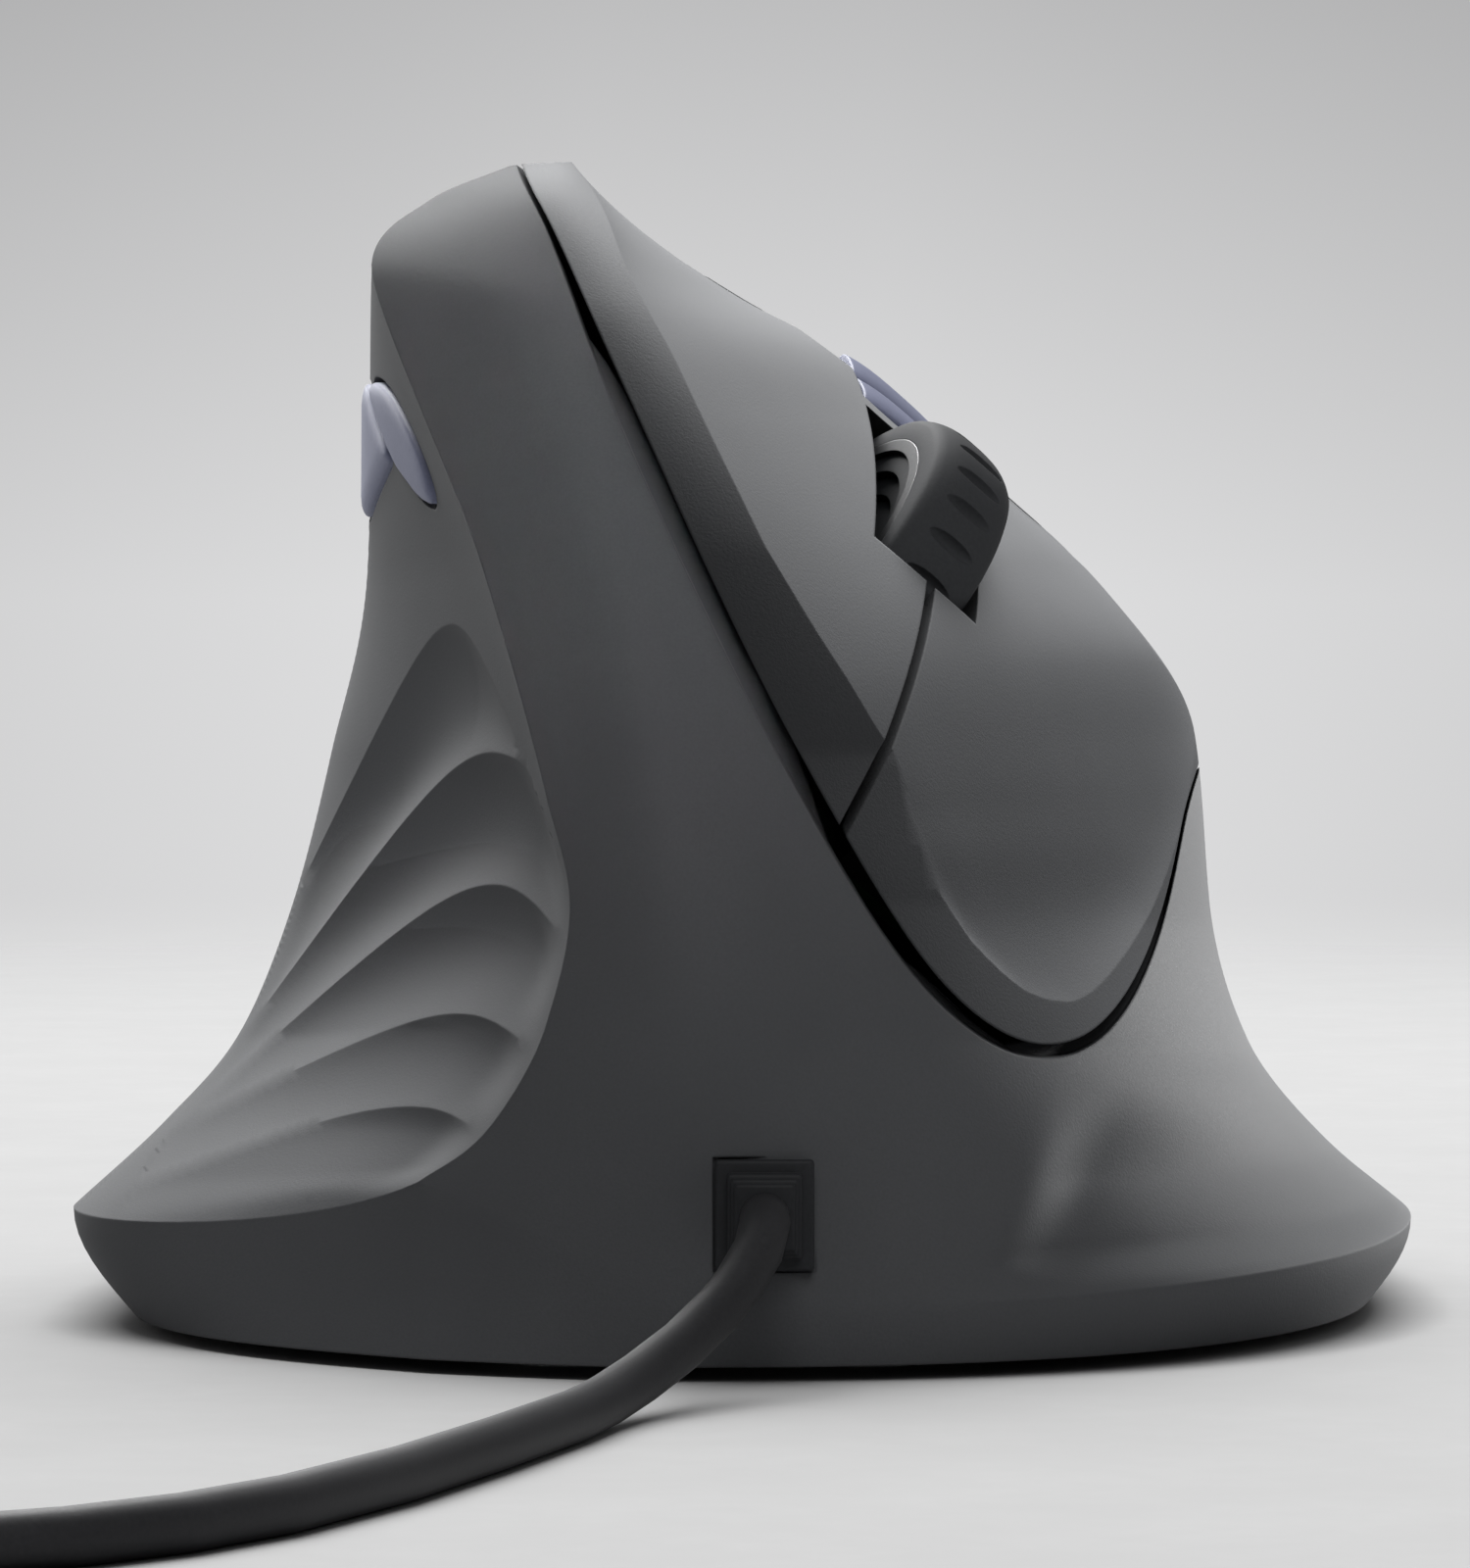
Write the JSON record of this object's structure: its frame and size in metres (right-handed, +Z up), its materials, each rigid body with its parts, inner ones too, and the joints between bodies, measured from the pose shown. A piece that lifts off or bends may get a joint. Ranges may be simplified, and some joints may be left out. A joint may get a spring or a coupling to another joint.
{
  "type": "vertical mouse",
  "caption": "Corded vertical computer mouse, left-hand form: leaning charcoal body with a fluted thumb flank, long finger keys, scroll wheel, speed and thumb buttons, tied cord.",
  "frame": {"origin": "on the desk plane under the glide feet, in the middle of the body's length and width without its cord", "axes": "+Z up from the desk, -Y towards the nose and cord, +X towards the finger keys, -X towards the thumb"},
  "size_m": [0.1374, 0.2074, 0.0726],
  "materials": {
    "shell_plastic": "soft-touch matte with a fine grain",
    "base_plastic": "matte",
    "glide_ptfe": "waxy satin",
    "screw_steel": "plain",
    "inner_plastic": "matte",
    "switch_plastic": "satin",
    "plunger_plastic": "satin",
    "tyre_rubber": "matte rubber",
    "hub_plastic": "satin",
    "button_plastic": "satin",
    "circuit_board": "satin solder mask",
    "chip_resin": "matte",
    "lens_clear": "clear",
    "socket_nylon": "satin",
    "ribbon_film": "satin",
    "gland_rubber": "matte rubber",
    "cord_sheath": "matte sheath",
    "tie_strap": "woven strap",
    "plug_rubber": "matte moulding",
    "plug_steel": "bright stamped sheet",
    "plug_insulator": "satin"
  },
  "bodies": {
    "housing": {"main_shell": "shell_plastic", "palm_cover": "shell_plastic", "base_plate": "base_plastic", "glide_feet": "glide_ptfe", "base_screws": "screw_steel", "hinge_rod": "screw_steel", "inner_frame": "inner_plastic", "frame_screws": "screw_steel", "key_board": "circuit_board", "key_board_screws": "screw_steel", "upper_switch": "switch_plastic", "lower_switch": "switch_plastic", "wheel_switch": "switch_plastic", "encoder_body": "switch_plastic", "dpi_switches": "switch_plastic", "side_board": "circuit_board", "side_switches": "switch_plastic", "main_board": "circuit_board", "board_screws": "screw_steel", "controller_chip": "chip_resin", "sensor_chip": "chip_resin", "sensor_lens": "lens_clear", "sensor_led": "lens_clear", "cord_socket": "socket_nylon", "board_ribbon": "ribbon_film", "strain_relief": "gland_rubber", "inner_lead": "cord_sheath", "cord": "cord_sheath", "cord_coil": "cord_sheath", "coil_tie": "tie_strap", "plug_grip": "plug_rubber", "plug_shell": "plug_steel", "plug_tongue": "plug_insulator"},
    "upper_key_lever": {"upper_key": "shell_plastic", "upper_key_hinge": "inner_plastic"},
    "lower_key_lever": {"lower_key": "shell_plastic", "lower_key_hinge": "inner_plastic"},
    "upper_plunger_pin": {"upper_plunger": "plunger_plastic"},
    "lower_plunger_pin": {"lower_plunger": "plunger_plastic"},
    "wheel_cradle": {"wheel_carrier": "inner_plastic"},
    "scroll_wheel": {"wheel_tyre": "tyre_rubber", "wheel_hub": "hub_plastic"},
    "dpi_up": {"dpi_up_button": "button_plastic"},
    "dpi_down": {"dpi_down_button": "button_plastic"},
    "forward": {"forward_button": "button_plastic"},
    "back": {"back_button": "button_plastic"}
  },
  "joints": [
    {"name": "upper_key_press", "type": "hinge", "parent": "housing", "child": "upper_key_lever", "pos_m": [0.00289, 0.00683, 0.05416], "axis": [0.7258, 0.2796, -0.6285], "range_deg": [0, 0.35], "stiffness_Nm_per_rad": 2, "springref_deg": -0.17},
    {"name": "lower_key_press", "type": "hinge", "parent": "housing", "child": "lower_key_lever", "pos_m": [0.00289, 0.00683, 0.05416], "axis": [0.7258, 0.2796, -0.6285], "range_deg": [0, 0.35], "stiffness_Nm_per_rad": 2, "springref_deg": -0.17},
    {"name": "upper_plunger_slide", "type": "slide", "parent": "housing", "child": "upper_plunger_pin", "axis": [-0.6879, 0.2924, -0.6643], "range_m": [0, 0.0003]},
    {"name": "lower_plunger_slide", "type": "slide", "parent": "housing", "child": "lower_plunger_pin", "axis": [-0.6879, 0.2924, -0.6643], "range_m": [0, 0.0003]},
    {"name": "wheel_press", "type": "slide", "parent": "housing", "child": "wheel_cradle", "axis": [-0.6879, 0.2924, -0.6643], "range_m": [0, 0.0005], "stiffness_N_per_m": 1000, "springref_m": -0.0005},
    {"name": "wheel_spin", "type": "hinge", "parent": "wheel_cradle", "child": "scroll_wheel", "pos_m": [0.00604, -0.02101, 0.04542], "axis": [0.7258, 0.2796, -0.6285], "continuous": true},
    {"name": "dpi_up_press", "type": "slide", "parent": "housing", "child": "dpi_up", "axis": [-0.6879, 0.2924, -0.6643], "range_m": [0, 0.0004], "stiffness_N_per_m": 800, "springref_m": -0.0003},
    {"name": "dpi_down_press", "type": "slide", "parent": "housing", "child": "dpi_down", "axis": [-0.6879, 0.2924, -0.6643], "range_m": [0, 0.0004], "stiffness_N_per_m": 800, "springref_m": -0.0003},
    {"name": "forward_press", "type": "slide", "parent": "housing", "child": "forward", "axis": [1, 0, 0], "range_m": [0, 0.0005], "stiffness_N_per_m": 800, "springref_m": -0.0003},
    {"name": "back_press", "type": "slide", "parent": "housing", "child": "back", "axis": [1, 0, 0], "range_m": [0, 0.0005], "stiffness_N_per_m": 800, "springref_m": -0.0003}
  ],
  "couplings": [
    {"joint": "upper_plunger_slide", "follows": "upper_key_press", "m_per_rad": 0.041},
    {"joint": "lower_plunger_slide", "follows": "lower_key_press", "m_per_rad": 0.041}
  ]
}
